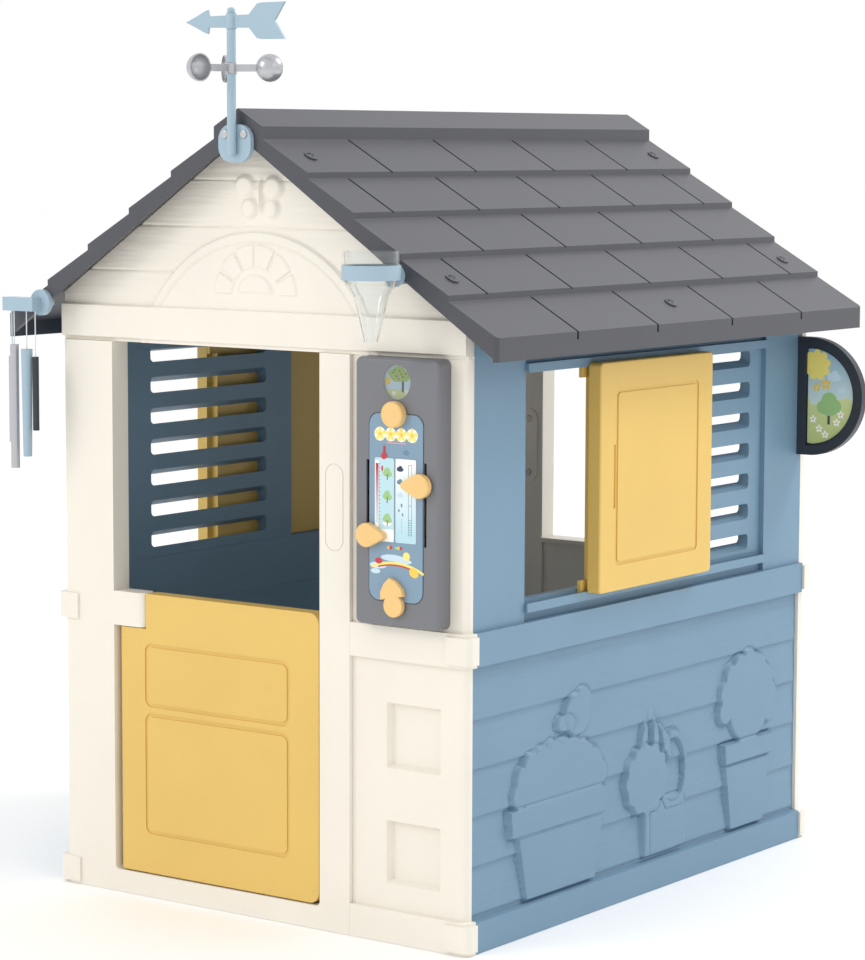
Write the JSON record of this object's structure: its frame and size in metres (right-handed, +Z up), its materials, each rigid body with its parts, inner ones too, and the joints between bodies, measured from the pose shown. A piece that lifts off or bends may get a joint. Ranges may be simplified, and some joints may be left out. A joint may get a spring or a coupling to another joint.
{
  "type": "outdoor playhouse",
  "caption": "Child-size plastic playhouse with a tiled roof, half door, sliding shutters, louvred windows and clip-on weather toys.",
  "frame": {"origin": "middle of the floor rectangle, on the ground the walls stand on", "axes": "+X along the front wall towards the sign side, +Y from the front wall to the back wall, +Z up"},
  "size_m": [1.0203, 1.2121, 1.437],
  "materials": {
    "cream_plastic": "satin",
    "blue_plastic": "satin",
    "roof_plastic": "satin",
    "yellow_plastic": "satin",
    "knob_plastic": "gloss",
    "grey_plastic": "satin",
    "print_blue": "gloss",
    "print_white": "gloss",
    "print_green": "gloss",
    "clear_plastic": "clear",
    "dark_plastic": "satin",
    "light_blue_plastic": "gloss",
    "silver_plastic": "satin",
    "steel": "satin",
    "cord": "matte"
  },
  "bodies": {
    "house": {"front_door_frame": "cream_plastic", "front_side_panel": "cream_plastic", "front_gable": "cream_plastic", "back_window_frame": "cream_plastic", "back_lower_panel": "cream_plastic", "back_side_panel": "cream_plastic", "back_gable": "cream_plastic", "right_lower_panel": "blue_plastic", "left_lower_panel": "blue_plastic", "right_window_frame": "blue_plastic", "left_window_frame": "blue_plastic", "right_louvres": "blue_plastic", "left_louvres": "blue_plastic", "roof_panel_right": "roof_plastic", "roof_panel_left": "roof_plastic", "roof_clips": "roof_plastic", "corner_screws": "steel", "joint_plates": "cream_plastic", "joint_screws": "steel", "sign_frame": "dark_plastic", "sign_picture": "print_green", "station_housing": "grey_plastic", "station_board": "print_blue", "thermometer_card": "print_white", "rain_card": "print_white", "station_lens": "clear_plastic", "station_screws": "steel", "vane_bracket": "light_blue_plastic", "vane_screws": "steel", "vane_spindle": "steel", "spindle_spacer": "light_blue_plastic", "spindle_cap": "light_blue_plastic", "gauge_clamp": "light_blue_plastic", "chime_bar": "light_blue_plastic"},
    "door": {"door_panel": "yellow_plastic", "door_pins": "steel"},
    "right_shutter_body": {"right_shutter": "yellow_plastic"},
    "left_shutter_body": {"left_shutter": "yellow_plastic"},
    "season_dial": {"season_disc": "print_white", "season_knob": "knob_plastic"},
    "temperature_marker": {"temperature_slider": "knob_plastic"},
    "rain_marker": {"rain_slider": "knob_plastic"},
    "pointer": {"weather_pointer": "knob_plastic", "pointer_washer": "knob_plastic"},
    "anemometer": {"anemometer_rotor": "silver_plastic"},
    "vane": {"vane_arrow": "light_blue_plastic"},
    "rain_cup": {"gauge_cup": "clear_plastic"},
    "chime_long": {"chime_tube_long": "silver_plastic", "chime_string_long": "cord"},
    "chime_short": {"chime_tube_short": "silver_plastic", "chime_string_short": "cord"},
    "chime_blue": {"chime_tube_blue": "light_blue_plastic", "chime_string_blue": "cord"},
    "chime_dark": {"chime_tube_dark": "dark_plastic", "chime_string_dark": "cord"}
  },
  "joints": [
    {"name": "door_swing", "type": "hinge", "parent": "house", "child": "door", "pos_m": [-0.276, -0.5029, 0.27], "axis": [0, 0, -1], "range_deg": [0, 100]},
    {"name": "right_shutter_slide", "type": "slide", "parent": "house", "child": "right_shutter_body", "axis": [0, 1, 0], "range_m": [-0.155, 0.19]},
    {"name": "left_shutter_slide", "type": "slide", "parent": "house", "child": "left_shutter_body", "axis": [0, -1, 0], "range_m": [-0.155, 0.19]},
    {"name": "season_dial_turn", "type": "hinge", "parent": "house", "child": "season_dial", "pos_m": [0.2945, -0.543, 0.821], "axis": [0, 1, 0], "continuous": true},
    {"name": "temperature_slide", "type": "slide", "parent": "house", "child": "temperature_marker", "axis": [0, 0, 1], "range_m": [-0.006, 0.108]},
    {"name": "rain_slide", "type": "slide", "parent": "house", "child": "rain_marker", "axis": [0, 0, 1], "range_m": [-0.087, 0.028]},
    {"name": "weather_pointer_turn", "type": "hinge", "parent": "house", "child": "pointer", "pos_m": [0.2945, -0.543, 0.531], "axis": [0, 1, 0], "range_deg": [-40, 60]},
    {"name": "anemometer_spin", "type": "hinge", "parent": "house", "child": "anemometer", "pos_m": [0, -0.5723, 1.338], "axis": [0, 0, 1], "continuous": true},
    {"name": "vane_turn", "type": "hinge", "parent": "house", "child": "vane", "pos_m": [0, -0.5723, 1.409], "axis": [0, 0, 1], "continuous": true},
    {"name": "rain_cup_lift", "type": "slide", "parent": "house", "child": "rain_cup", "axis": [0, 0, 1], "range_m": [0, 0.12]},
    {"name": "chime_long_swing", "type": "hinge", "parent": "house", "child": "chime_long", "pos_m": [-0.4535, -0.5803, 0.952], "axis": [1, 0, 0], "range_deg": [-12, 12]},
    {"name": "chime_short_swing", "type": "hinge", "parent": "house", "child": "chime_short", "pos_m": [-0.4675, -0.5708, 0.952], "axis": [1, 0, 0], "range_deg": [-12, 12]},
    {"name": "chime_blue_swing", "type": "hinge", "parent": "house", "child": "chime_blue", "pos_m": [-0.4285, -0.5778, 0.952], "axis": [1, 0, 0], "range_deg": [-12, 12]},
    {"name": "chime_dark_swing", "type": "hinge", "parent": "house", "child": "chime_dark", "pos_m": [-0.4125, -0.5743, 0.952], "axis": [1, 0, 0], "range_deg": [-12, 12]}
  ]
}
